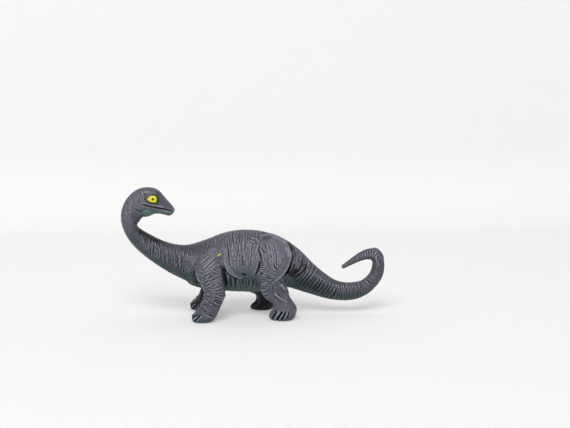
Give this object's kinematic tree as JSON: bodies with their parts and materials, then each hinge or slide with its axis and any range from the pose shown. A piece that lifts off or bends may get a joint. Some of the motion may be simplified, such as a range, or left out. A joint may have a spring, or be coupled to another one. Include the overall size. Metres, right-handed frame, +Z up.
{
  "type": "toy dinosaur figure",
  "caption": "Long-necked toy dinosaur that stands on four legs, its neck hooked back over its body and its tail curled.",
  "frame": {"origin": "middle of the figure's footprint box, on the surface that the soles stand on", "axes": "+X towards the tail, +Y towards the animal's right side, +Z up"},
  "size_m": [0.1486, 0.0432, 0.0736],
  "materials": {
    "grey_pvc": "soft PVC, satin, dark grey paint over dark green-grey plastic",
    "yellow_eye_paint": "bright yellow paint with a small black pupil"
  },
  "bodies": {
    "root": {"torso_left_shell": "grey_pvc", "torso_right_shell": "grey_pvc", "neck": "grey_pvc", "head": "grey_pvc", "tail": "grey_pvc", "front_left_leg": "grey_pvc", "front_right_leg": "grey_pvc", "hind_left_leg": "grey_pvc", "hind_right_leg": "grey_pvc", "left_eye": "yellow_eye_paint", "right_eye": "yellow_eye_paint"}
  },
  "joints": []
}
